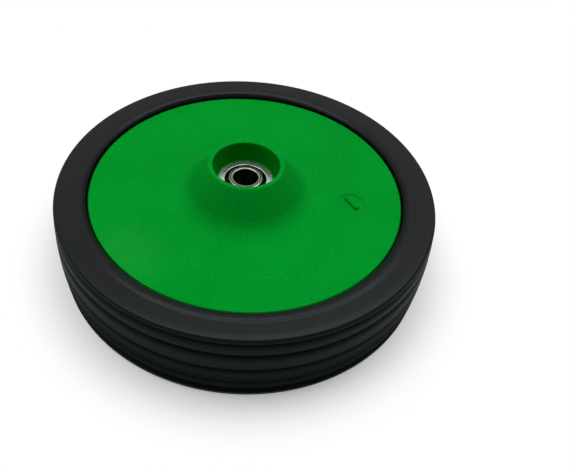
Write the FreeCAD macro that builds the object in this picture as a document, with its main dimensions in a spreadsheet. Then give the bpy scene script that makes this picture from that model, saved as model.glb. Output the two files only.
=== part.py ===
import FreeCAD, Part
import math
import os
from collections import namedtuple
import Sketcher

# Lawn mower wheel, 200 mm across: a ribbed solid rubber tyre on a one-piece moulded hub, which
# turns on two flanged ball bearings. It lies on its back side with the axle's axis upright. The
# origin is on that axis, in the plane that the tyre's side rests on, and the boss points up (+Z).

# Driving sizes in millimetres. Heights are measured from the wheel's mid-plane unless they say
# otherwise, and a "round" is the radius of a rounded edge.
driving_sizes = {
    "tyre_radius": 100.0,
    "tyre_width": 45.0,
    "rubber_depth": 18.1,
    "crown_radius": 160.0,
    "bead_height": 0.5,
    "bead_inner_width": 1.75,
    "bead_top_width": 2.9,
    "bead_outer_width": 1.3,
    "bead_inner_round": 4.6,
    "bead_outer_round": 1.6,
    "shoulder_land": 4.05,
    "shoulder_drop": 0.7,
    "shoulder_slope_width": 3.8,
    "shoulder_slope_round": 12.0,
    "shoulder_round": 1.5,
    "outer_rib_pitch": 7.2,
    "groove_width": 3.2,
    "groove_depth": 1.9,
    "groove_lip_round": 3.4,
    "groove_floor_round": 0.4,
    "shoulder_lip_round": 0.5,
    "tyre_lip_gap": 0.75,
    "tyre_lip_rise": 1.1,
    "tyre_lip_round": 0.3,
    "tyre_seat_gap": 0.05,
    "disc_inset": 3.2,
    "disc_wall": 3.0,
    "disc_dish": 2.0,
    "disc_edge_round": 0.6,
    "rim_lip_thickness": 3.5,
    "rim_lip_depth": 3.4,
    "rim_lip_round": 0.6,
    "barrel_wall": 3.5,
    "barrel_corner_round": 2.0,
    "boss_height": 16.2,
    "boss_flare": 13.3,
    "boss_foot_round": 12.6,
    "boss_lip_width": 2.1,
    "boss_lip_round": 1.0,
    "recess_mouth_round": 0.4,
    "recess_play": 2.9,
    "recess_depth": 10.85,
    "recess_draft": 1.9,
    "recess_corner_round": 0.8,
    "recess_wall": 3.0,
    "recess_floor": 3.0,
    "flank_wall": 3.4,
    "core_top_width": 1.2,
    "core_round": 0.5,
    "tube_wall": 4.1,
    "tube_end_round": 0.5,
    "tube_shoulder_step": 1.9,
    "hub_end_inset": 2.4,
    "seat_gap": 0.03,
    "seat_end_gap": 0.1,
    "rib_count": 8,
    "rib_thickness": 2.6,
    "rib_inset_at_tube": 1.6,
    "rib_inset_at_rim": 2.0,
    "rib_sink": 2.0,
    "mark_radius": 7.2,
    "mark_distance": 55.7,
    "mark_azimuth": -8.1,
    "mark_step": 0.3,
    "bar_length": 10.6,
    "bar_width": 2.6,
    "bar_height": 1.6,
    "bar_offset": 0.9,
    "bar_azimuth": -59.0,
    "bar_end_round": 1.1,
    "bar_edge_round": 0.9,
    "cup_radius": 12.9,
    "cup_wall": 1.2,
    "cup_height": 8.0,
    "cup_corner_round": 1.8,
    "cup_lip_radius": 10.6,
    "skirt_gap": 0.03,
    "flange_radius": 14.5,
    "flange_thickness": 0.9,
    "flange_hole_radius": 10.9,
    "flange_edge_round": 0.25,
    "ball_radius": 1.985,
    "ball_count": 15,
    "ball_depth": 4.5,
    "raceway_play": 0.05,
    "bore_radius": 6.35,
    "race_radius": 9.3,
    "race_length": 9.3,
    "race_proud": 1.15,
    "race_corner_round": 1.1,
    "bore_edge_round": 0.8,
}

document = FreeCAD.newDocument("mower_wheel")
sheet = document.addObject("Spreadsheet::Sheet", "sizes")
for row, (alias, number) in enumerate(driving_sizes.items(), start=1):
    sheet.set(f"A{row}", alias)
    sheet.set(f"B{row}", str(number))
    sheet.setAlias(f"B{row}", alias)
document.recompute()


class Size:
    """A size worked out from the sheet: its value now, and the expression that follows the sheet."""

    def __init__(self, value, text):
        self.value = value
        self.text = text

    def __add__(self, other):
        return Size(self.value + value_of(other), f"({self} + {other})")

    def __sub__(self, other):
        return Size(self.value - value_of(other), f"({self} - {other})")

    def __mul__(self, other):
        return Size(self.value * value_of(other), f"({self} * {other})")

    def __truediv__(self, other):
        return Size(self.value / value_of(other), f"({self} / {other})")

    def __neg__(self):
        return Size(-self.value, f"(-{self})")

    def __str__(self):
        return self.text


class SheetSizes:
    """Reads a cell of the sheet by its alias."""

    def __getattr__(self, alias):
        return Size(float(sheet.get(alias)), f"sizes.{alias}")


def value_of(size):
    return size.value if isinstance(size, Size) else size


def square_root(size):
    return Size(math.sqrt(size.value), f"sqrt({size})")


sizes = SheetSizes()

# Heights above the mid-plane and radii that several pieces share.
half_width = sizes.tyre_width / 2
disc_radius = sizes.tyre_radius - sizes.rubber_depth
disc_face = half_width - sizes.disc_inset
barrel_radius = disc_radius - sizes.rim_lip_depth
barrel_half_length = disc_face - sizes.rim_lip_thickness
boss_top = disc_face + sizes.boss_height
recess_floor_height = boss_top - sizes.recess_depth
recess_radius = sizes.flange_radius + sizes.recess_play
hub_end = half_width - sizes.hub_end_inset
seat_radius = sizes.cup_radius + sizes.seat_gap
seat_depth = sizes.cup_height - sizes.flange_thickness + sizes.seat_end_gap
tube_radius = seat_radius + sizes.tube_wall
raceway_round = sizes.ball_radius + sizes.raceway_play
cup_inner_radius = sizes.cup_radius - sizes.cup_wall
pitch_radius = cup_inner_radius - raceway_round

# A corner of an outline: its place, the rounding of the corner, and the radius of the side that
# leaves it if that side is an arc, with the arc's centre on the right of the way for a plus sign.
Corner = namedtuple("Corner", "across up rounding arc", defaults=(None, None))


def point_of(corner):
    return FreeCAD.Vector(value_of(corner.across), value_of(corner.up), 0)


def bind(sketch, kind, first, second, size):
    """Adds a dimension to the sketch and ties it to the sheet."""
    number = sketch.addConstraint(Sketcher.Constraint(kind, *first, *second, value_of(size)))
    if isinstance(size, Size):
        sketch.setExpression(f"Constraints[{number}]", size.text)


def locate(sketch, spot, corner):
    bind(sketch, "DistanceX", (-1, 1), spot, corner.across)
    bind(sketch, "DistanceY", (-1, 1), spot, corner.up)


def rounding_ends(previous, corner, following):
    """Where the rounding of a corner leaves the two straight sides, and the middle of its arc."""
    here = point_of(corner)
    back = (point_of(previous) - here).normalize()
    ahead = (point_of(following) - here).normalize()
    half_angle = back.getAngle(ahead) / 2
    reach = value_of(corner.rounding) / math.tan(half_angle)
    to_centre = value_of(corner.rounding) / math.sin(half_angle)
    bisector = (back + ahead).normalize()
    middle = here + bisector * (to_centre - value_of(corner.rounding))
    return here + back * reach, middle, here + ahead * reach


def side_curve(start, end, arc):
    """The side between two points: straight, or an arc of the given signed radius."""
    if arc is None:
        return Part.LineSegment(start, end)
    half_chord = (end - start) * 0.5
    right = FreeCAD.Vector(half_chord.y, -half_chord.x, 0).normalize()
    radius = abs(value_of(arc))
    to_centre = math.sqrt(radius ** 2 - half_chord.Length ** 2)
    turn = 1 if value_of(arc) > 0 else -1
    middle = start + half_chord - right * turn * (radius - to_centre)
    return Part.Arc(start, middle, end)


def add_curve(sketch, curve, first_point):
    """Adds a curve, and says which of its stored ends comes first: arcs are kept anticlockwise."""
    number = sketch.addGeometry(curve, False)
    if sketch.getPoint(number, 1).distanceToPoint(first_point) < 1e-6:
        return number, (number, 1), (number, 2)
    return number, (number, 2), (number, 1)


def draw_outline(sketch, corners):
    """Draws a closed outline whose corners and roundings follow the sheet."""
    count = len(corners)
    ends = []
    for index, corner in enumerate(corners):
        if corner.rounding is None:
            ends.append((point_of(corner), None, point_of(corner)))
        else:
            ends.append(rounding_ends(corners[index - 1], corner, corners[(index + 1) % count]))
    sides = []
    for index, corner in enumerate(corners):
        start = ends[index][2]
        curve = side_curve(start, ends[(index + 1) % count][0], corner.arc)
        sides.append(add_curve(sketch, curve, start))
    for index, corner in enumerate(corners):
        side_before, _, last_before = sides[index - 1]
        side_after, first_after, _ = sides[index]
        if corner.arc is not None:
            radius = corner.arc if value_of(corner.arc) > 0 else -corner.arc
            bind(sketch, "Radius", (side_after,), (), radius)
        if corner.rounding is None:
            sketch.addConstraint(Sketcher.Constraint("Coincident", *last_before, *first_after))
            locate(sketch, first_after, corner)
            continue
        fillet, fillet_first, fillet_last = add_curve(sketch, Part.Arc(*ends[index]), ends[index][0])
        sketch.addConstraint(Sketcher.Constraint("Tangent", *last_before, *fillet_first))
        sketch.addConstraint(Sketcher.Constraint("Tangent", *first_after, *fillet_last))
        bind(sketch, "Radius", (fillet,), (), corner.rounding)
        apex = sketch.addGeometry(Part.Point(point_of(corner)), True)
        sketch.addConstraint(Sketcher.Constraint("PointOnObject", apex, 1, side_before))
        sketch.addConstraint(Sketcher.Constraint("PointOnObject", apex, 1, side_after))
        locate(sketch, (apex, 1), corner)


def new_body(label):
    body = document.addObject("PartDesign::Body", label)
    body.Label = label
    return body


def new_sketch(body, name, plane_role, height=None):
    """A sketch on one of the body's own planes, or above it by a height."""
    plane = next(item for item in body.Origin.OriginFeatures if item.Role == plane_role)
    sketch = body.newObject("Sketcher::SketchObject", name)
    sketch.AttachmentSupport = [(plane, "")]
    sketch.MapMode = "FlatFace"
    if height is not None:
        sketch.setExpression(".AttachmentOffset.Base.z", height.text)
    return sketch


def turn_outline(body, name, corners):
    """Turns a closed outline in the XZ plane about the Z axis."""
    sketch = new_sketch(body, name + "_outline", "XZ_Plane")
    draw_outline(sketch, corners)
    turned = body.newObject("PartDesign::Revolution", name)
    turned.Profile = sketch
    turned.ReferenceAxis = (sketch, ["V_Axis"])
    turned.Angle = 360
    document.recompute()
    return turned


def mirrored_about_mid_plane(corners):
    """The corners of the other side, in the order that closes the outline."""
    return [Corner(corner.across, -corner.up, corner.rounding) for corner in reversed(corners)]


def tread_radius(height):
    """Radius of the crowned tread at a height."""
    return sizes.tyre_radius - height * height / (sizes.crown_radius * 2)


def groove_corners(height, lip_round_above, lip_round_below):
    """A rounded V-shaped tread groove, from its upper lip to its lower one."""
    upper = height + sizes.groove_width / 2
    lower = height - sizes.groove_width / 2
    return [
        Corner(tread_radius(upper), upper, lip_round_above),
        Corner(tread_radius(height) - sizes.groove_depth, height, sizes.groove_floor_round),
        Corner(tread_radius(lower), lower, lip_round_below),
    ]


def make_tyre():
    """Its half above the mid-plane, from the seat over the bead and shoulder to the middle groove."""
    side_height = half_width - sizes.bead_height
    outer_groove = side_height - sizes.shoulder_land
    inner_groove = outer_groove - sizes.outer_rib_pitch
    seat_radius_of_tyre = barrel_radius + sizes.tyre_seat_gap
    seat_height = barrel_half_length - sizes.tyre_seat_gap
    lip_radius = disc_radius + sizes.tyre_lip_gap
    bead_inner = lip_radius + sizes.bead_inner_width
    bead_outer = bead_inner + sizes.bead_top_width
    shoulder_radius = tread_radius(outer_groove + sizes.groove_width / 2)
    slope_start = shoulder_radius - sizes.shoulder_slope_width
    lip_round = sizes.groove_lip_round
    middle_lip = sizes.groove_width / 2
    middle_lip_corner = Corner(tread_radius(middle_lip), middle_lip, lip_round)
    middle_floor = Corner(sizes.tyre_radius - sizes.groove_depth, 0, sizes.groove_floor_round)
    upper_half = [
        Corner(seat_radius_of_tyre, seat_height),
        Corner(lip_radius, seat_height),
        Corner(lip_radius, disc_face + sizes.tyre_lip_rise, sizes.tyre_lip_round),
        Corner(bead_inner, half_width, sizes.bead_inner_round),
        Corner(bead_outer, half_width, sizes.bead_outer_round),
        Corner(bead_outer + sizes.bead_outer_width, side_height, sizes.bead_outer_round),
        Corner(slope_start, side_height, sizes.shoulder_slope_round),
        Corner(shoulder_radius, side_height - sizes.shoulder_drop, sizes.shoulder_round),
        *groove_corners(outer_groove, sizes.shoulder_lip_round, lip_round),
        *groove_corners(inner_groove, lip_round, lip_round),
        middle_lip_corner,
    ]
    body = new_body("tyre")
    turn_outline(body, "tyre_ring", [*upper_half, middle_floor, *mirrored_about_mid_plane(upper_half)])
    return body


def boss_wall_corner(foot_radius, foot_height, flank_depth, disc_depth):
    """Where the boss's flank meets the disc, on lines that lie inside the outer ones.

    The flank is moved inwards by flank_depth and the disc's face down by disc_depth.
    """
    disc_slope = sizes.disc_dish / (disc_radius - foot_radius)
    flank_slope = sizes.boss_flare / (boss_top - foot_height)
    below = (disc_depth + disc_slope * flank_depth) / (disc_slope * flank_slope + 1)
    return foot_radius - flank_depth + flank_slope * below, foot_height - below


def make_wheel_hub():
    foot_height = disc_face - sizes.disc_dish
    boss_radius = recess_radius + sizes.boss_lip_width
    foot_radius = boss_radius + sizes.boss_flare
    flank_slope = sizes.boss_flare / (boss_top - foot_height)
    core_inner = recess_radius + sizes.recess_wall
    core_outer = core_inner + sizes.core_top_width
    core_top = boss_top - (core_outer + sizes.flank_wall - boss_radius) / flank_slope
    core_floor = recess_floor_height - sizes.recess_floor
    barrel_inner = barrel_radius - sizes.barrel_wall
    front_seat_end = recess_floor_height - seat_depth
    back_seat_end = seat_depth - hub_end
    through_radius = seat_radius - sizes.tube_shoulder_step
    under_foot = boss_wall_corner(foot_radius, foot_height, sizes.flank_wall, sizes.disc_wall)

    body = new_body("wheel_hub")
    turn_outline(body, "hub_moulding", [
        Corner(disc_radius, disc_face, sizes.disc_edge_round),
        Corner(foot_radius, foot_height, sizes.boss_foot_round),
        Corner(boss_radius, boss_top, sizes.boss_lip_round),
        Corner(recess_radius, boss_top, sizes.recess_mouth_round),
        Corner(recess_radius - sizes.recess_draft, recess_floor_height, sizes.recess_corner_round),
        Corner(seat_radius, recess_floor_height),
        Corner(seat_radius, front_seat_end),
        Corner(through_radius, front_seat_end),
        Corner(through_radius, back_seat_end),
        Corner(seat_radius, back_seat_end),
        Corner(seat_radius, -hub_end),
        Corner(tube_radius, -hub_end, sizes.tube_end_round),
        Corner(tube_radius, core_floor, sizes.core_round),
        Corner(core_inner, core_floor, sizes.core_round),
        Corner(core_inner, core_top, sizes.core_round),
        Corner(core_outer, core_top, sizes.core_round),
        Corner(*under_foot, sizes.boss_foot_round + sizes.disc_wall),
        Corner(barrel_inner, disc_face - sizes.disc_wall, sizes.barrel_corner_round),
        Corner(barrel_inner, -disc_face, sizes.rim_lip_round),
        Corner(disc_radius, -disc_face, sizes.rim_lip_round),
        Corner(disc_radius, -barrel_half_length),
        Corner(barrel_radius, -barrel_half_length),
        Corner(barrel_radius, barrel_half_length),
        Corner(disc_radius, barrel_half_length),
    ])

    # Each rib's upper edge lies inside the walls, so that the rib runs into them everywhere.
    sink = sizes.rib_sink
    under_flank = sizes.flank_wall - sink
    rib_foot = boss_wall_corner(foot_radius, foot_height, under_flank, sizes.disc_wall - sink)
    rib_top = core_top + sink
    rib_top_radius = boss_radius + flank_slope * (boss_top - rib_top) - under_flank
    rib_step_radius = core_inner - sizes.recess_wall / 2
    rib_step_height = core_floor + sizes.recess_floor / 2
    rib_inner = tube_radius - sizes.tube_wall / 2
    rib_outer = barrel_radius - sizes.barrel_wall / 2
    rib_sketch = new_sketch(body, "rib_outline", "XZ_Plane")
    draw_outline(rib_sketch, [
        Corner(rib_inner, sizes.rib_inset_at_tube - hub_end),
        Corner(rib_outer, sizes.rib_inset_at_rim - disc_face),
        Corner(rib_outer, disc_face - sizes.disc_wall / 2),
        Corner(*rib_foot),
        Corner(rib_top_radius, rib_top),
        Corner(rib_step_radius, rib_top),
        Corner(rib_step_radius, rib_step_height),
        Corner(rib_inner, rib_step_height),
    ])
    rib = body.newObject("PartDesign::Pad", "rib")
    rib.Profile = rib_sketch
    rib.SideType = "Symmetric"
    rib.setExpression("Length", "sizes.rib_thickness")
    document.recompute()
    ribs = body.newObject("PartDesign::PolarPattern", "ribs")
    ribs.Originals = [rib]
    ribs.Axis = (rib_sketch, ["V_Axis"])
    ribs.Angle = 360
    ribs.setExpression("Occurrences", "sizes.rib_count")
    body.Tip = ribs
    document.recompute()
    make_mould_mark(body, foot_radius, foot_height)
    return body


def make_mould_mark(body, foot_radius, foot_height):
    """The round face of a mould insert, sunk a little into the dished disc, with a raised bar on it."""
    disc_slope = sizes.disc_dish / (disc_radius - foot_radius)
    floor_height = foot_height + disc_slope * (sizes.mark_distance - foot_radius) - sizes.mark_step
    circle_sketch = new_sketch(body, "mark_circle", "XY_Plane")
    lay_on_mark_floor(circle_sketch, floor_height, disc_slope)
    circle_sketch.addGeometry(
        Part.Circle(FreeCAD.Vector(), FreeCAD.Vector(0, 0, 1), sizes.mark_radius.value), False
    )
    circle_sketch.addConstraint(Sketcher.Constraint("Coincident", 0, 3, -1, 1))
    bind(circle_sketch, "Radius", (0,), (), sizes.mark_radius)
    volume_before = body.Shape.Volume
    sunk = body.newObject("PartDesign::Pocket", "mark_recess")
    sunk.Profile = circle_sketch
    sunk.Type = "ThroughAll"
    sunk.Reversed = True
    document.recompute()
    mean_depth = (volume_before - body.Shape.Volume) / (math.pi * sizes.mark_radius.value ** 2)
    if not 1 < mean_depth / sizes.mark_step.value < 1.2:
        raise RuntimeError("the mould mark is not an even, shallow recess")

    bar_sketch = new_sketch(body, "mark_bar_outline", "XY_Plane")
    lay_on_mark_floor(bar_sketch, floor_height, disc_slope)
    draw_mark_bar(bar_sketch)
    bar = body.newObject("PartDesign::Pad", "mark_bar")
    bar.Profile = bar_sketch
    bar.setExpression("Length", "sizes.bar_height")
    document.recompute()
    azimuth = math.radians(sizes.bar_azimuth.value)
    aside = sizes.bar_offset.value
    top_middle = FreeCAD.Vector(-aside * math.sin(azimuth), aside * math.cos(azimuth), sizes.bar_height.value)
    round_bar_top(body, bar, bar_sketch.Placement.multVec(top_middle))


def lay_on_mark_floor(sketch, floor_height, disc_slope):
    """Puts the sketch's origin at the mark's middle, and tilts it as the disc's face is there."""
    cosine = "cos(sizes.mark_azimuth)"
    sine = "sin(sizes.mark_azimuth)"
    middle = f"vector(sizes.mark_distance * {cosine}; sizes.mark_distance * {sine}; {floor_height})"
    tilt = f"rotation(vector(-{sine}; {cosine}; 0); -atan({disc_slope}))"
    sketch.setExpression("AttachmentOffset", f"placement({middle}; {tilt})")


def draw_mark_bar(sketch):
    """A rectangle with rounded corners beside the sketch's origin, turned to the bar's azimuth."""
    azimuth = math.radians(sizes.bar_azimuth.value)
    cosine = Size(math.cos(azimuth), "cos(sizes.bar_azimuth)")
    sine = Size(math.sin(azimuth), "sin(sizes.bar_azimuth)")
    along = sizes.bar_length / 2
    far_side = sizes.bar_offset + sizes.bar_width / 2
    near_side = sizes.bar_offset - sizes.bar_width / 2
    corners = []
    for length, width in ((along, far_side), (-along, far_side), (-along, near_side), (along, near_side)):
        across = length * cosine - width * sine
        up = length * sine + width * cosine
        corners.append(Corner(across, up, sizes.bar_end_round))
    draw_outline(sketch, corners)


def round_bar_top(body, bar, top_middle):
    """Rounds the edges round the top face of the raised bar."""
    nearest = min(
        range(len(bar.Shape.Faces)),
        key=lambda number: bar.Shape.Faces[number].CenterOfMass.distanceToPoint(top_middle),
    )
    if bar.Shape.Faces[nearest].CenterOfMass.distanceToPoint(top_middle) > 1e-3:
        raise RuntimeError("the raised bar's top face was not found")
    rounded = body.newObject("PartDesign::Fillet", "mark_bar_rounding")
    rounded.Base = (bar, [f"Face{nearest + 1}"])
    rounded.setExpression("Radius", "sizes.bar_edge_round")
    document.recompute()


def make_bearing_cup(label):
    """The drawn cup: its wall and inturned bottom form the outer and lower part of the raceway."""
    to_lip = sizes.cup_lip_radius - pitch_radius
    lip_height = -sizes.ball_depth - square_root(raceway_round * raceway_round - to_lip * to_lip)
    body = new_body(label)
    turn_outline(body, label + "_shell", [
        Corner(sizes.cup_radius, -sizes.flange_thickness),
        Corner(sizes.cup_radius, -sizes.cup_height, sizes.cup_corner_round),
        Corner(sizes.cup_lip_radius, -sizes.cup_height),
        Corner(sizes.cup_lip_radius, lip_height, arc=-raceway_round),
        Corner(cup_inner_radius, -sizes.ball_depth),
        Corner(cup_inner_radius, -sizes.flange_thickness),
    ])
    return body


def make_bearing_flange(label):
    """The pressed ring that closes the cup: its skirt forms the upper part of the raceway."""
    skirt_radius = cup_inner_radius - sizes.skirt_gap
    to_skirt = skirt_radius - pitch_radius
    to_hole = sizes.flange_hole_radius - pitch_radius
    skirt_end = square_root(raceway_round * raceway_round - to_skirt * to_skirt) - sizes.ball_depth
    hole_end = square_root(raceway_round * raceway_round - to_hole * to_hole) - sizes.ball_depth
    edge_round = sizes.flange_edge_round
    body = new_body(label)
    turn_outline(body, label + "_ring", [
        Corner(sizes.flange_radius, 0, edge_round),
        Corner(sizes.flange_radius, -sizes.flange_thickness, edge_round),
        Corner(skirt_radius, -sizes.flange_thickness),
        Corner(skirt_radius, skirt_end, arc=-raceway_round),
        Corner(sizes.flange_hole_radius, hole_end),
        Corner(sizes.flange_hole_radius, 0, edge_round),
    ])
    return body


def make_inner_race(label):
    """The turned inner ring, with a deep ball groove, which stands a little proud of the flange."""
    top = sizes.race_proud
    bottom = sizes.race_proud - sizes.race_length
    to_land = pitch_radius - sizes.race_radius
    half_groove = square_root(raceway_round * raceway_round - to_land * to_land)
    body = new_body(label)
    turn_outline(body, label + "_ring", [
        Corner(sizes.bore_radius, top, sizes.bore_edge_round),
        Corner(sizes.bore_radius, bottom, sizes.bore_edge_round),
        Corner(sizes.race_radius, bottom, sizes.race_corner_round),
        Corner(sizes.race_radius, -sizes.ball_depth - half_groove, arc=raceway_round),
        Corner(sizes.race_radius, half_groove - sizes.ball_depth),
        Corner(sizes.race_radius, top, sizes.race_corner_round),
    ])
    return body


def make_ball(label, place, height):
    """One ball of the full ring, at its place on the pitch circle."""
    step = 360 / sizes.ball_count.value
    ball = document.addObject("Part::Sphere", label)
    ball.Label = label
    ball.setExpression("Radius", "sizes.ball_radius")
    turn = f"{place} * 360 / sizes.ball_count"
    ball.Placement.Base = FreeCAD.Vector(
        pitch_radius.value * math.cos(math.radians(place * step)),
        pitch_radius.value * math.sin(math.radians(place * step)),
        height.value,
    )
    ball.setExpression(".Placement.Base.x", f"{pitch_radius} * cos({turn})")
    ball.setExpression(".Placement.Base.y", f"{pitch_radius} * sin({turn})")
    ball.setExpression(".Placement.Base.z", height.text)
    return ball


def place(body, height, turned_over=False):
    """Sets a body at its height, upright or turned over about the X axis."""
    if turned_over:
        body.Placement = FreeCAD.Placement(FreeCAD.Vector(), FreeCAD.Rotation(FreeCAD.Vector(1, 0, 0), 180))
    body.setExpression(".Placement.Base.z", height.text)
    return body


def make_bearing(side, face_height, turned_over):
    """A flanged bearing: cup, flange ring, inner race and balls, with its flange's face at a height."""
    pieces = [
        place(make_bearing_cup(f"{side}_bearing_cup"), face_height, turned_over),
        place(make_bearing_flange(f"{side}_bearing_flange"), face_height, turned_over),
        place(make_inner_race(f"{side}_inner_race"), face_height, turned_over),
    ]
    ball_height = face_height + sizes.ball_depth if turned_over else face_height - sizes.ball_depth
    for number in range(int(sizes.ball_count.value)):
        pieces.append(make_ball(f"{side}_ball_{number + 1:02d}", number, ball_height))
    return pieces


parts = [
    place(make_tyre(), half_width),
    place(make_wheel_hub(), half_width),
]
parts += make_bearing("front", half_width + recess_floor_height + sizes.flange_thickness, False)
parts += make_bearing("back", half_width - hub_end - sizes.flange_thickness, True)
document.recompute()

for item in document.Objects:
    if "Invalid" in item.State or "Error" in item.State:
        raise RuntimeError(f"{item.Label} did not build: {item.State}")
for part in parts:
    if part.Shape.isNull() or not part.Shape.isValid() or len(part.Shape.Solids) != 1:
        raise RuntimeError(f"{part.Label} is not one valid solid")

os.makedirs("parts", exist_ok=True)
for part in parts:
    part.Shape.exportStep(f"parts/{part.Label}.step")
    print(part.Label, round(part.Shape.Volume, 1))
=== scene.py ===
import math

import bpy
from mathutils import Matrix, Vector


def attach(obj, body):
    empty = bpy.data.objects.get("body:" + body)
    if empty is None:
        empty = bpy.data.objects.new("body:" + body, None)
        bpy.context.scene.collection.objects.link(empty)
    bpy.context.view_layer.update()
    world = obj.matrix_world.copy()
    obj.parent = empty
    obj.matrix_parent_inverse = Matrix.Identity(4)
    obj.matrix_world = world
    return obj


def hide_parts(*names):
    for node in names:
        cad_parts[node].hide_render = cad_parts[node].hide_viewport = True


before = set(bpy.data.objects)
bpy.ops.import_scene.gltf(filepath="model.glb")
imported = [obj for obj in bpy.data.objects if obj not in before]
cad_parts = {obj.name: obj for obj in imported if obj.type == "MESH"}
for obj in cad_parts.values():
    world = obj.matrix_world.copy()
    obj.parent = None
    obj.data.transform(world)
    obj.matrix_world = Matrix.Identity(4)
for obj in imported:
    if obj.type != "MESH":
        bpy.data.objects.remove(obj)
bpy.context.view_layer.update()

mm = 0.001


def linear(hexColour):  # sRGB hex to the linear colour of a socket
    shares = [int(hexColour[i:i + 2], 16) / 255 for i in (1, 3, 5)]
    channels = [v / 12.92 if v <= 0.04045 else ((v + 0.055) / 1.055) ** 2.4 for v in shares]
    return (*channels, 1.0)


# A Mix node's sockets go by number: 0 is the factor, 2 and 3 are numbers, 6 and 7 are colours.
def addNode(tree, kind, inputs=None, **settings):
    node = tree.nodes.new(kind)
    for name, value in settings.items():  # settings first, since some of them change the sockets
        setattr(node, name, value)
    for socket, value in (inputs or {}).items():
        if isinstance(value, bpy.types.NodeSocket):
            tree.links.new(value, node.inputs[socket])
        else:
            node.inputs[socket].default_value = value
    return node


def ends(label, pair, unit=1):  # both ends of a range, as Map Range names its sockets
    return {label + " Min": pair[0] * unit, label + " Max": pair[1] * unit}


def fromAxis(tree, place):  # how far a point is from the axle's axis, in metres
    flat = addNode(tree, "ShaderNodeVectorMath", {0: place, 1: (1, 1, 0)}, operation="MULTIPLY")
    away = addNode(tree, "ShaderNodeVectorMath", {0: flat.outputs["Vector"]}, operation="LENGTH")
    return away.outputs["Value"]


def newFinish(name):
    material = bpy.data.materials.new(name)
    material.use_nodes = True
    tree = material.node_tree
    tree.nodes.clear()
    place = addNode(tree, "ShaderNodeTexCoord").outputs["Object"]
    return material, tree, place


# The camera has the lens and tilt of the photograph, fitted to the wheel's round edges.
view = {
    "focalPixels": 624.23,
    "sensorWidth": 36,                   # mm
    "frameWidth": 574,
    "frameHeight": 472,
    "lookedAt": (238.316, 222.101),      # the pixel on the lens's own axis
    "elevation": 0.790,                  # radians above the floor
    "roll": 0.047,                       # radians
    "offset": (2.936, 4.857, -343.686),  # the middle of the tyre as seen from the lens, mm
    "midPlane": 22.5,                    # height of the middle of the tyre, mm
    "nearest": 0.01,                     # what is nearer than this isn't drawn, m
}


def makeCamera():
    tilt, roll = view["elevation"], view["roll"]
    right = Vector((1, 0, 0))
    up = Vector((0, math.sin(tilt), math.cos(tilt)))
    back = Vector((0, -math.cos(tilt), math.sin(tilt)))
    turn = Matrix((
        right * math.cos(roll) + up * math.sin(roll),
        up * math.cos(roll) - right * math.sin(roll),
        back,
    )).transposed()
    place = turn @ -Vector(view["offset"]) + Vector((0, 0, view["midPlane"]))

    data = bpy.data.cameras.new("photoCamera")
    data.sensor_width = view["sensorWidth"]
    data.lens = view["focalPixels"] / view["frameWidth"] * data.sensor_width
    data.shift_x = (view["frameWidth"] / 2 - view["lookedAt"][0]) / view["frameWidth"]
    data.shift_y = (view["lookedAt"][1] - view["frameHeight"] / 2) / view["frameWidth"]
    data.clip_start = view["nearest"]
    camera = bpy.data.objects.new("photoCamera", data)
    camera.matrix_world = Matrix.Translation(place * mm) @ turn.to_4x4()
    bpy.context.scene.collection.objects.link(camera)
    bpy.context.scene.camera = camera


makeCamera()
bpy.context.scene.view_settings.view_transform = "Standard"
print("camera placed")


# The studio: one soft lamp overhead, a pale floor, and a white room that lights the object less
# from the front. Lengths in metres, and a brightness of 1 is white. Pairs of brightness for the
# gloss are what a glossy surface sees of the room or the floor.
studio = {
    "lampPlace": (-0.03, 0.10, 0.95),
    "lampAim": (0, 0, 0.03),
    "lampSize": (1.70, 0.48),
    "lampPower": 8.6,               # watts
    "roomLight": (0.06, 0.42),      # what the room gives the object from the front and from behind
    "frontGloss": (0.75, 0.12),     # the room in front, low down and above
    "backGloss": (0.12, 1.0),       # the room behind, low down and above
    "glossTurn": (-0.3, 0.3),       # the change from front to behind, as a part of the direction
    "glossRise": (0.1, 0.65),       # the change from low down to above
    "floorColour": "#FCFCFB",
    "floorHalf": 3,                 # half the floor's side
    "shadowReach": (0.098, 0.130),  # the floor fades to white between these distances
    "shadowShare": 0.62,            # how much of the shadow on the floor is kept at the wheel
    "mirrorReach": (0.103, 0.120),  # the same fade for what gloss sees of the floor
    "mirrorShare": (0.58, 0.66),    # how bright gloss sees the floor near the wheel and further out
    "farReach": (0.12, 0.20),       # the change from the first of these to the second
}


def hangLamp():
    data = bpy.data.lights.new("softLamp", "AREA")
    data.shape = "RECTANGLE"
    data.size, data.size_y = studio["lampSize"]
    data.energy = studio["lampPower"]
    lamp = bpy.data.objects.new("softLamp", data)
    lamp.location = studio["lampPlace"]
    away = lamp.location - Vector(studio["lampAim"])
    lamp.rotation_euler = away.to_track_quat("Z", "Y").to_euler()
    bpy.context.scene.collection.objects.link(lamp)


def seenStraight(tree, rays):  # 1 for what the camera sees itself or through something clear
    seen = addNode(tree, "ShaderNodeMath", {
        0: rays["Is Camera Ray"], 1: rays["Is Transmission Ray"],
    }, operation="MAXIMUM")
    return seen.outputs[0]


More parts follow.
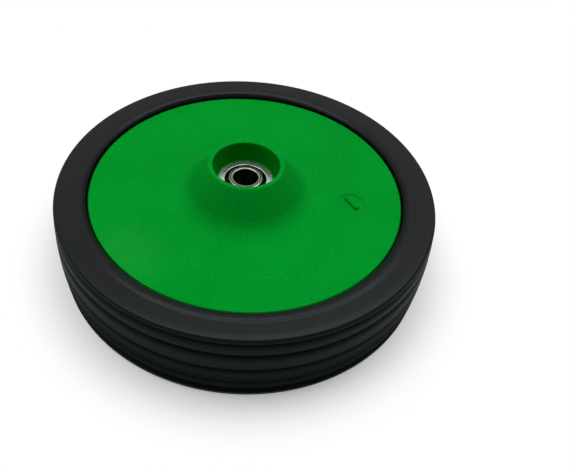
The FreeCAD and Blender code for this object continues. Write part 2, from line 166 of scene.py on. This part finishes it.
def makeRoom():
    world = bpy.data.worlds.new("whiteRoom")
    world.use_nodes = True
    tree = world.node_tree
    tree.nodes.clear()
    rays = addNode(tree, "ShaderNodeLightPath").outputs
    towards = addNode(tree, "ShaderNodeTexCoord").outputs["Generated"]
    parts = addNode(tree, "ShaderNodeSeparateXYZ", {0: towards})
    room = addNode(tree, "ShaderNodeMapRange", {
        "Value": parts.outputs["Y"], **ends("From", (-1, 1)), **ends("To", studio["roomLight"]),
    })
    low, high = [
        addNode(tree, "ShaderNodeMapRange", {
            "Value": parts.outputs["Y"],
            **ends("From", studio["glossTurn"]), **ends("To", frontAndBack),
        })
        for frontAndBack in zip(studio["frontGloss"], studio["backGloss"])
    ]
    gloss = addNode(tree, "ShaderNodeMapRange", {
        "Value": parts.outputs["Z"], **ends("From", studio["glossRise"]),
        "To Min": low.outputs[0], "To Max": high.outputs[0],
    })
    shown = addNode(tree, "ShaderNodeMix", {
        0: rays["Is Glossy Ray"], 2: room.outputs[0], 3: gloss.outputs[0],
    }, data_type="FLOAT")
    level = addNode(tree, "ShaderNodeMix", {
        0: seenStraight(tree, rays), 2: shown.outputs[0], 3: 1.0,
    }, data_type="FLOAT")
    sky = addNode(tree, "ShaderNodeBackground", {
        "Color": (1, 1, 1, 1), "Strength": level.outputs[0],
    })
    addNode(tree, "ShaderNodeOutputWorld", {"Surface": sky.outputs[0]})
    bpy.context.scene.world = world


def layFloor():
    paint, tree, place = newFinish("paleFloorPaper")
    rays = addNode(tree, "ShaderNodeLightPath").outputs
    away = fromAxis(tree, place)
    fade = addNode(tree, "ShaderNodeMapRange", {
        "Value": away, **ends("From", studio["shadowReach"]), "To Min": 1 - studio["shadowShare"],
    }, interpolation_type="SMOOTHSTEP")
    mirrored = addNode(tree, "ShaderNodeMapRange", {
        "Value": away, **ends("From", studio["mirrorReach"]),
    }, interpolation_type="SMOOTHSTEP")
    farther = addNode(tree, "ShaderNodeMapRange", {
        "Value": away, **ends("From", studio["farReach"]), **ends("To", studio["mirrorShare"]),
    }, interpolation_type="SMOOTHSTEP")
    clear = addNode(tree, "ShaderNodeMath", {
        0: fade.outputs[0], 1: seenStraight(tree, rays),
    }, operation="MULTIPLY")
    share = addNode(tree, "ShaderNodeMath", {
        0: clear.outputs[0], 1: rays["Is Glossy Ray"],
    }, operation="MAXIMUM")
    gloss = addNode(tree, "ShaderNodeMath", {
        0: mirrored.outputs[0], 1: farther.outputs[0],
    }, operation="MULTIPLY")
    level = addNode(tree, "ShaderNodeMix", {
        0: rays["Is Glossy Ray"], 2: 1.0, 3: gloss.outputs[0],
    }, data_type="FLOAT")
    paper = addNode(tree, "ShaderNodeBsdfDiffuse", {"Color": linear(studio["floorColour"])})
    white = addNode(tree, "ShaderNodeEmission", {
        "Color": (1, 1, 1, 1), "Strength": level.outputs[0],
    })
    mixed = addNode(tree, "ShaderNodeMixShader", {
        0: share.outputs[0], 1: paper.outputs[0], 2: white.outputs[0],
    })
    addNode(tree, "ShaderNodeOutputMaterial", {"Surface": mixed.outputs[0]})

    half = studio["floorHalf"]
    corners = [(-half, -half, 0), (half, -half, 0), (half, half, 0), (-half, half, 0)]
    data = bpy.data.meshes.new("paleFloor")
    data.from_pydata(corners, [], [(0, 1, 2, 3)])
    data.materials.append(paint)
    floor = bpy.data.objects.new("paleFloor", data)
    bpy.context.scene.collection.objects.link(floor)


hangLamp()
makeRoom()
layFloor()
print("studio lit")


def closeSkin(tree, place, finish, colour, polish):  # the grain and shader of a moulded surface
    grain = addNode(tree, "ShaderNodeTexNoise", {
        "Vector": place, "Scale": 1 / (finish["grainMm"] * mm), "Detail": finish["grainDetail"],
    })
    bump = addNode(tree, "ShaderNodeBump", {
        "Height": grain.outputs["Fac"], "Distance": finish["grainDepthMm"] * mm,
    })
    shader = addNode(tree, "ShaderNodeBsdfPrincipled", {
        "Base Color": colour, "Roughness": polish, "Normal": bump.outputs[0],
        "Specular IOR Level": finish["specular"],
        "Specular Tint": linear(finish["specularTint"]),
    })
    addNode(tree, "ShaderNodeOutputMaterial", {"Surface": shader.outputs[0]})


# Polypropylene, injection moulded: strong green all through, satin from the fine grain of the
# mould, with pale specks where the skin is scuffed. Painted shade darkens the recess and the
# seam round the disc, and a painted sheen lightens a patch at the front left. Radii in mm from
# the axle's axis.
plastic = {
    "deep": "#008F27", "light": "#00992B",    # slow clouds between these two greens
    "cloudMm": 38, "cloudDetail": 3, "cloudSpan": (0.3, 0.7),
    "scuff": "#1FBF45", "scuffShare": 0.24,   # the specks
    "scuffMm": 0.9, "scuffDetail": 1, "scuffSpan": (0.45, 0.8),
    "paintedSheen": "#7FD07C", "paintedSheenShare": 0.026,  # painted sheen: a pale patch that stands for a reflection at the front left
    "paintedSheenPlace": (-56, -50, 40), "paintedSheenReach": (2, 30),
    # painted shade in the gap round the disc's edge
    "seam": "#00300A", "seamShare": 0.85, "seamRadii": (81.05, 81.65),
    # painted shade in the bearing's recess
    "recessShade": "#007A0C", "recessShadeRadii": (17.05, 17.45),
    "roughness": (0.34, 0.42), "polishSpan": (0.2, 0.8),
    "specular": 0.016, "specularTint": "#48FF6A",
    "grainMm": 0.8,  # real grain is finer than a pixel, so it is drawn this coarse
    "grainDetail": 2, "grainDepthMm": 0.05,
}


def makePlastic():
    material, tree, place = newFinish("mouldedPolypropylene")
    away = fromAxis(tree, place)
    cloud = addNode(tree, "ShaderNodeTexNoise", {
        "Vector": place, "Scale": 1 / (plastic["cloudMm"] * mm), "Detail": plastic["cloudDetail"],
    })
    spread = addNode(tree, "ShaderNodeMapRange", {
        "Value": cloud.outputs["Fac"], **ends("From", plastic["cloudSpan"]),
    })
    body = addNode(tree, "ShaderNodeMix", {
        0: spread.outputs[0], 6: linear(plastic["deep"]), 7: linear(plastic["light"]),
    }, data_type="RGBA")

    speck = addNode(tree, "ShaderNodeTexNoise", {
        "Vector": place, "Scale": 1 / (plastic["scuffMm"] * mm), "Detail": plastic["scuffDetail"],
    })
    scuffed = addNode(tree, "ShaderNodeMapRange", {
        "Value": speck.outputs["Fac"], **ends("From", plastic["scuffSpan"]),
        "To Max": plastic["scuffShare"],
    })
    # painted sheen: a pale patch at the front left, fading out from its middle
    sheenDistance = addNode(tree, "ShaderNodeVectorMath", {
        0: place, 1: [value * mm for value in plastic["paintedSheenPlace"]],
    }, operation="DISTANCE")
    paintedSheenMask = addNode(tree, "ShaderNodeMapRange", {
        "Value": sheenDistance.outputs["Value"], **ends("From", plastic["paintedSheenReach"], mm),
        **ends("To", (plastic["paintedSheenShare"], 0)),
    }, interpolation_type="SMOOTHSTEP")
    # painted shade in the seam round the disc
    seamShadeMask = addNode(tree, "ShaderNodeMapRange", {
        "Value": away, **ends("From", plastic["seamRadii"], mm), "To Max": plastic["seamShare"],
    })
    # painted shade in the bearing's recess
    recessShadeMask = addNode(tree, "ShaderNodeMapRange", {
        "Value": away, **ends("From", plastic["recessShadeRadii"], mm), **ends("To", (1, 0)),
    })
    layers = {"scuff": scuffed, "paintedSheen": paintedSheenMask, "seam": seamShadeMask, "recessShade": recessShadeMask}
    skin = body
    for name, mask in layers.items():  # each layer lies over those before it
        skin = addNode(tree, "ShaderNodeMix", {
            0: mask.outputs[0], 6: skin.outputs[2], 7: linear(plastic[name]),
        }, data_type="RGBA")

    polish = addNode(tree, "ShaderNodeMapRange", {
        "Value": cloud.outputs["Fac"],
        **ends("From", plastic["polishSpan"]), **ends("To", plastic["roughness"]),
    })
    closeSkin(tree, place, plastic, skin.outputs[2], polish.outputs[0])
    return material


# Natural rubber with carbon black, compression moulded: deep black on the tread, and a greyer,
# waxy bloom on the flat sides, where the mould was smooth. The darker, greener tread and the
# fade over the shoulder are partly painted shade, where the rubber turns from the lamp, and the
# lowest rib is painted paler, as painted light from the floor. Radii in mm from the axle's axis.
rubber = {
    # the tread's darker, greener colours are partly painted shade, as it faces away from the lamp
    "tread": ("#02100B", "#051710"), "side": ("#121214", "#171619"),
    "cloudMm": 14, "cloudDetail": 4, "cloudRoughness": 0.6,
    "bloomAndShadeHeights": (19.0, 20.4),  # mm from the mid-plane, over which the greyer side comes in: bloom, partly painted light
    "bloomRadii": (96.6, 98.6),    # where it ends at the shoulder, as painted shade where the shoulder turns from the lamp
    "floorLight": "#646A64",             # painted light: a paler lowest rib, for light bounced from the floor
    "floorLightHeights": (2.9, 3.5),     # mm above the floor, over which the painted floor light ends
    "floorLightRadii": (97.0, 98.0),     # where it begins
    "roughness": (0.45, 0.32),     # of the tread and of the bloom
    "specular": 0.14, "specularTint": "#ECFFF9",
    "grainMm": 0.9,                # drawn coarser than the real grain, to show in a pixel
    "grainDetail": 2, "grainDepthMm": 0.02,
}


def makeRubber():
    material, tree, place = newFinish("mouldedRubber")
    away = fromAxis(tree, place)
    height = addNode(tree, "ShaderNodeSeparateXYZ", {0: place}).outputs["Z"]
    fromMiddle = addNode(tree, "ShaderNodeMath", {
        0: height, 1: view["midPlane"] * mm,
    }, operation="SUBTRACT")
    aside = addNode(tree, "ShaderNodeMath", {0: fromMiddle.outputs[0]}, operation="ABSOLUTE")
    # the mask of the greyer side: real bloom and partly painted light; the tread and shoulder it
    # leaves darker are partly painted shade
    outside = addNode(tree, "ShaderNodeMapRange", {
        "Value": aside.outputs[0], **ends("From", rubber["bloomAndShadeHeights"], mm),
    }, interpolation_type="SMOOTHSTEP")
    inside = addNode(tree, "ShaderNodeMapRange", {
        "Value": away, **ends("From", rubber["bloomRadii"], mm), **ends("To", (1, 0)),
    }, interpolation_type="SMOOTHSTEP")
    bloom = addNode(tree, "ShaderNodeMath", {
        0: outside.outputs[0], 1: inside.outputs[0],
    }, operation="MULTIPLY")
    cloud = addNode(tree, "ShaderNodeTexNoise", {
        "Vector": place, "Scale": 1 / (rubber["cloudMm"] * mm),
        "Detail": rubber["cloudDetail"], "Roughness": rubber["cloudRoughness"],
    })
    tread, side = [
        addNode(tree, "ShaderNodeMix", {
            0: cloud.outputs["Fac"], 6: linear(dark), 7: linear(light),
        }, data_type="RGBA")
        for dark, light in (rubber["tread"], rubber["side"])
    ]
    shade = addNode(tree, "ShaderNodeMix", {
        0: bloom.outputs[0], 6: tread.outputs[2], 7: side.outputs[2],
    }, data_type="RGBA")

    # painted light from the floor: a paler colour on the lowest rib
    low = addNode(tree, "ShaderNodeMapRange", {
        "Value": height, **ends("From", rubber["floorLightHeights"], mm), **ends("To", (1, 0)),
    })
    outer = addNode(tree, "ShaderNodeMapRange", {
        "Value": away, **ends("From", rubber["floorLightRadii"], mm),
    })
    floorLightMask = addNode(tree, "ShaderNodeMath", {
        0: low.outputs[0], 1: outer.outputs[0],
    }, operation="MULTIPLY")
    skin = addNode(tree, "ShaderNodeMix", {
        0: floorLightMask.outputs[0], 6: shade.outputs[2], 7: linear(rubber["floorLight"]),
    }, data_type="RGBA")

    polish = addNode(tree, "ShaderNodeMapRange", {
        "Value": bloom.outputs[0], **ends("To", rubber["roughness"]),
    })
    closeSkin(tree, place, rubber, skin.outputs[2], polish.outputs[0])
    return material


# The bearings' steels differ in colour, in how cloudy they are and in their marks, so one table
# holds them. Their clouds have the same character.
steelCloud = {"detail": 5, "roughness": 0.65, "polishSpan": (0.25, 0.75)}
steels = {
    # pressed and zinc plated: pale cool grey, a dull satin with cloudy spots
    "zincPlatedSteel": {
        "dark": "#AEBDB7", "light": "#DAE5E0", "roughness": (0.22, 0.32), "cloudMm": 1.8,
    },
    # deep drawn and oiled: darker and a little brown, with a smoother skin
    "drawnSteel": {
        "dark": "#5C5350", "light": "#7A716B", "roughness": (0.26, 0.38), "cloudMm": 2.5,
    },
    # turned, hardened and tumbled: soft sheen, its grey leaning a little green, partly a painted
    # reflection of the green hub, and a ring of painted shade on the end face, between its two
    # bright rounded edges
    "turnedSteel": {
        "dark": "#787669", "light": "#A3A294", "roughness": (0.16, 0.28), "cloudMm": 1.6,
        "line": "#1E1B16", "lineRadius": 7.85, "lineWidth": 0.5,
    },
    # polished balls, painted nearly black: painted shade for the dark gap they sit in
    "shadedBallSteel": {
        "dark": "#0D0C0A", "light": "#1C1915", "roughness": (0.12, 0.24), "cloudMm": 1.2,
    },
}


def makeSteel(name):
    steel = steels[name]
    material, tree, place = newFinish(name)
    cloud = addNode(tree, "ShaderNodeTexNoise", {
        "Vector": place, "Scale": 1 / (steel["cloudMm"] * mm),
        "Detail": steelCloud["detail"], "Roughness": steelCloud["roughness"],
    })
    shade = addNode(tree, "ShaderNodeMix", {
        0: cloud.outputs["Fac"], 6: linear(steel["dark"]), 7: linear(steel["light"]),
    }, data_type="RGBA")
    if "line" in steel:  # a thin ring of painted shade round the axle's axis
        ring = addNode(tree, "ShaderNodeMath", {
            0: fromAxis(tree, place), 1: steel["lineRadius"] * mm, 2: steel["lineWidth"] / 2 * mm,
        }, operation="COMPARE")
        shade = addNode(tree, "ShaderNodeMix", {
            0: ring.outputs[0], 6: shade.outputs[2], 7: linear(steel["line"]),
        }, data_type="RGBA")
    polish = addNode(tree, "ShaderNodeMapRange", {
        "Value": cloud.outputs["Fac"],
        **ends("From", steelCloud["polishSpan"]), **ends("To", steel["roughness"]),
    })
    shader = addNode(tree, "ShaderNodeBsdfPrincipled", {
        "Base Color": shade.outputs[2], "Metallic": 1.0, "Roughness": polish.outputs[0],
    })
    addNode(tree, "ShaderNodeOutputMaterial", {"Surface": shader.outputs[0]})
    return material


finishes = {
    "tyre_rubber": makeRubber(),
    "hub_plastic": makePlastic(),
    "cup_steel": makeSteel("drawnSteel"),
    "flange_zinc": makeSteel("zincPlatedSteel"),
    "race_steel": makeSteel("turnedSteel"),
    "ball_steel": makeSteel("shadedBallSteel"),
}
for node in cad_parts.values():
    for slot in node.material_slots:
        slot.material = finishes[slot.material.name.split(".")[0]]
print("finishes set")


def arcPoints(centre, first, last, arcStep):  # from first to last the short way round the centre
    sweep = (first - centre).angle_signed(last - centre)
    steps = max(2, math.ceil(abs(math.degrees(sweep)) / arcStep))
    return [
        centre + Matrix.Rotation(-sweep * k / steps, 2) @ (first - centre)
        for k in range(steps + 1)
    ]


def roundedOutline(corners, arcStep, keep):  # corners are (radius, height, rounding) in mm
    spots = [Vector(corner[:2]) for corner in corners]
    bends = []
    for i, here in enumerate(spots):
        radius = corners[i][2]
        back = (spots[i - 1] - here).normalized()
        ahead = (spots[(i + 1) % len(spots)] - here).normalized()
        half = back.angle(ahead) / 2
        centre = here + (back + ahead).normalized() * radius / math.sin(half)
        reach = radius / math.tan(half)
        bends.append(arcPoints(centre, here + back * reach, here + ahead * reach, arcStep))
    points = []
    for i, bend in enumerate(bends):
        points += bend
        start, end = bend[-1], bends[(i + 1) % len(bends)][0]
        if (end - start).length > 3 * keep:  # where there is room for a point at either end
            along = (end - start).normalized() * keep
            points += [start + along, end - along]
    return points


def newTree(name, sockets):
    tree = bpy.data.node_groups.new(name, "GeometryNodeTree")
    tree.interface.new_socket("Geometry", in_out="INPUT", socket_type="NodeSocketGeometry")
    for label, kind in sockets.items():
        tree.interface.new_socket(label, in_out="INPUT", socket_type="NodeSocket" + kind)
    tree.interface.new_socket("Geometry", in_out="OUTPUT", socket_type="NodeSocketGeometry")
    return tree, addNode(tree, "NodeGroupInput").outputs


def endTree(tree, geometry, finish):
    real = addNode(tree, "GeometryNodeRealizeInstances", {0: geometry})
    done = addNode(tree, "GeometryNodeSetMaterial", {
        "Geometry": real.outputs[0], "Material": finish,
    })
    addNode(tree, "NodeGroupOutput", {0: done.outputs[0]})


sharpAngle = 38  # degrees between two faces, past which their edge is shaded sharp


def runTree(name, data, tree, values):  # keeps the result as a plain mesh
    piece = bpy.data.objects.new(name, data)
    bpy.context.scene.collection.objects.link(piece)
    modifier = piece.modifiers.new(tree.name, "NODES")
    modifier.node_group = tree
    given = [item for item in tree.interface.items_tree if item.in_out == "INPUT"]
    sockets = {item.name: item.identifier for item in given}
    for label, value in values.items():
        modifier[sockets[label]] = value
    evaluated = piece.evaluated_get(bpy.context.evaluated_depsgraph_get())
    made = bpy.data.meshes.new_from_object(evaluated)
    piece.modifiers.clear()
    piece.data = made
    made.name = name
    made.set_sharp_from_angle(angle=math.radians(sharpAngle))
    return piece


# The tyre is one outline carried round the axle: lip, bead, flat side and rounded shoulder, and
# five grooves between convex ribs. Sizes in mm, heights from the mid-plane, and each corner is
# its radius, height and rounding.
tyre = {
    "radius": 100,
    "crown": 160,                 # radius of the tread's curve from side to side
    "seat": (78.55, 15.75, 0.3),  # the foot, in the hub's barrel
    "lip": (82.65, 20.4, 0.3),
    "bead": ((84.4, 22.5, 4.6), (87.2, 22.5, 1.6), (88.8, 22.0, 1.6)),
    "sideTurn": (95.0, 22.0, 12.0),
    "shoulderHeight": 21.75, "shoulderRound": 1.9,
    "grooves": (18.6, 10.75, 0, -10.75, -17.7),
    "grooveWidth": 2.5, "grooveDepth": 2.1, "floorRound": 0.3,
    "ribRound": 3.4,
    "outerLipRound": 0.5,         # of the outermost grooves, on the shoulder's side
    "pathDepth": 2,               # the circle that carries the outline runs this deep in the foot
    "stepsRound": 288,
    "arcStep": 8,                 # degrees between the points of a rounding
    "keep": 0.25,                 # a point this far past each rounding keeps straight runs flat
}


def turnedTree():
    tree, given = newTree("turnedOutline", {
        "Steps Round": "Int", "Path Radius": "Float", "Finish": "Material",
    })
    path = addNode(tree, "GeometryNodeCurvePrimitiveCircle", {
        "Resolution": given["Steps Round"], "Radius": given["Path Radius"],
    })
    outline = addNode(tree, "GeometryNodeMeshToCurve", {0: given["Geometry"]})
    ring = addNode(tree, "GeometryNodeCurveToMesh", {
        "Curve": path.outputs[0], "Profile Curve": outline.outputs[0],
    })
    smooth = addNode(tree, "GeometryNodeSetShadeSmooth", {"Geometry": ring.outputs[0]})
    endTree(tree, smooth.outputs[0], given["Finish"])
    return tree


def tyreCorners():
    half = tyre["grooveWidth"] / 2
    grooves = tyre["grooves"]

    def tread(height):  # the crowned tread's radius at a height
        return tyre["radius"] - height * height / (2 * tyre["crown"])

    seat, lip = tyre["seat"], tyre["lip"]
    side = [
        seat, (lip[0], *seat[1:]), lip, *tyre["bead"], tyre["sideTurn"],
        (tread(grooves[0] + half), tyre["shoulderHeight"], tyre["shoulderRound"]),
    ]
    ribs = []
    for number, height in enumerate(grooves):
        above = tyre["outerLipRound"] if number == 0 else tyre["ribRound"]
        below = tyre["outerLipRound"] if number == len(grooves) - 1 else tyre["ribRound"]
        ribs += [
            (tread(height + half), height + half, above),
            (tread(height) - tyre["grooveDepth"], height, tyre["floorRound"]),
            (tread(height - half), height - half, below),
        ]
    otherSide = [(radius, -height, rounding) for radius, height, rounding in reversed(side)]
    return [
        (radius, height + view["midPlane"], rounding)
        for radius, height, rounding in side + ribs + otherSide
    ]


def makeTyre():
    points = roundedOutline(tyreCorners(), tyre["arcStep"], tyre["keep"])
    pathRadius = tyre["seat"][0] + tyre["pathDepth"]
    outline = bpy.data.meshes.new("tyreOutline")
    outline.from_pydata(  # laid out so that the circle carries it upright and faces it outwards
        [((point.x - pathRadius) * mm, -point.y * mm, 0) for point in points],
        [(i, (i + 1) % len(points)) for i in range(len(points))], [],
    )
    piece = runTree("tyreRing", outline, turnedTree(), {
        "Steps Round": tyre["stepsRound"], "Path Radius": pathRadius * mm,
        "Finish": finishes["tyre_rubber"],
    })
    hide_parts("tyre")
    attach(piece, "wheel")


makeTyre()
print("tyre turned")


# Each bearing has a full ring of loose balls. Sizes in mm.
balls = {
    "count": 15, "radius": 1.985, "pitchRadius": 9.665,
    "height": {"front": 43.55, "back": 6.0},  # of their centres above the floor
    "segments": 24, "rings": 16,
}


def ballTree():
    tree, given = newTree("ballRing", {
        "Count": "Int", "Pitch Radius": "Float", "Ball Radius": "Float", "Height": "Float",
        "Segments": "Int", "Rings": "Int", "Finish": "Material",
    })
    circle = addNode(tree, "GeometryNodeMeshCircle", {
        "Vertices": given["Count"], "Radius": given["Pitch Radius"],
    })
    lift = addNode(tree, "ShaderNodeCombineXYZ", {"Z": given["Height"]})
    raised = addNode(tree, "GeometryNodeSetPosition", {
        "Geometry": circle.outputs[0], "Offset": lift.outputs[0],
    })
    ball = addNode(tree, "GeometryNodeMeshUVSphere", {
        "Segments": given["Segments"], "Rings": given["Rings"], "Radius": given["Ball Radius"],
    })
    smooth = addNode(tree, "GeometryNodeSetShadeSmooth", {"Geometry": ball.outputs[0]})
    ring = addNode(tree, "GeometryNodeInstanceOnPoints", {
        "Points": raised.outputs[0], "Instance": smooth.outputs[0],
    })
    endTree(tree, ring.outputs[0], given["Finish"])
    return tree


def makeBalls():
    tree = ballTree()
    for side, height in balls["height"].items():
        piece = runTree(side + "BallRing", bpy.data.meshes.new(side + "BallRing"), tree, {
            "Count": balls["count"], "Pitch Radius": balls["pitchRadius"] * mm,
            "Ball Radius": balls["radius"] * mm, "Height": height * mm,
            "Segments": balls["segments"], "Rings": balls["rings"],
            "Finish": finishes["ball_steel"],
        })
        nodes = [f"{side}_ball_{number:02d}" for number in range(1, balls["count"] + 1)]
        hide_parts(*nodes)
        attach(piece, side + "_balls")


makeBalls()
print("balls set")
